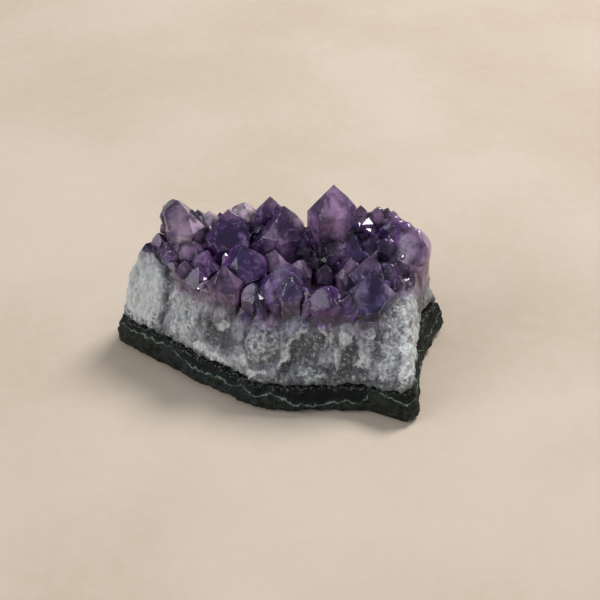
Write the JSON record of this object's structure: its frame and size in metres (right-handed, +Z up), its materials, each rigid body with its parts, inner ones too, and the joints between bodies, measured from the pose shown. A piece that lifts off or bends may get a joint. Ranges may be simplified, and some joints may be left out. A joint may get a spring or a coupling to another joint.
{
  "type": "amethyst cluster",
  "caption": "Cluster of purple quartz points grown on a columnar quartz base, with a rind of dark host rock below and broken sides.",
  "frame": {"origin": "middle of the bounding box's footprint, on the surface the cluster stands on", "axes": "+X along the longest side, to the right of the side with the low broken wall; +Z up, the way the points grow"},
  "size_m": [0.0652, 0.0414, 0.0341],
  "materials": {
    "matrix_rock": "rough dark green rock with a thin pale agate line",
    "amethyst": "clear purple quartz points on a milky grey quartz root"
  },
  "bodies": {
    "root": {"matrix_rock": "matrix_rock", "amethyst_crystals": "amethyst"}
  },
  "joints": []
}
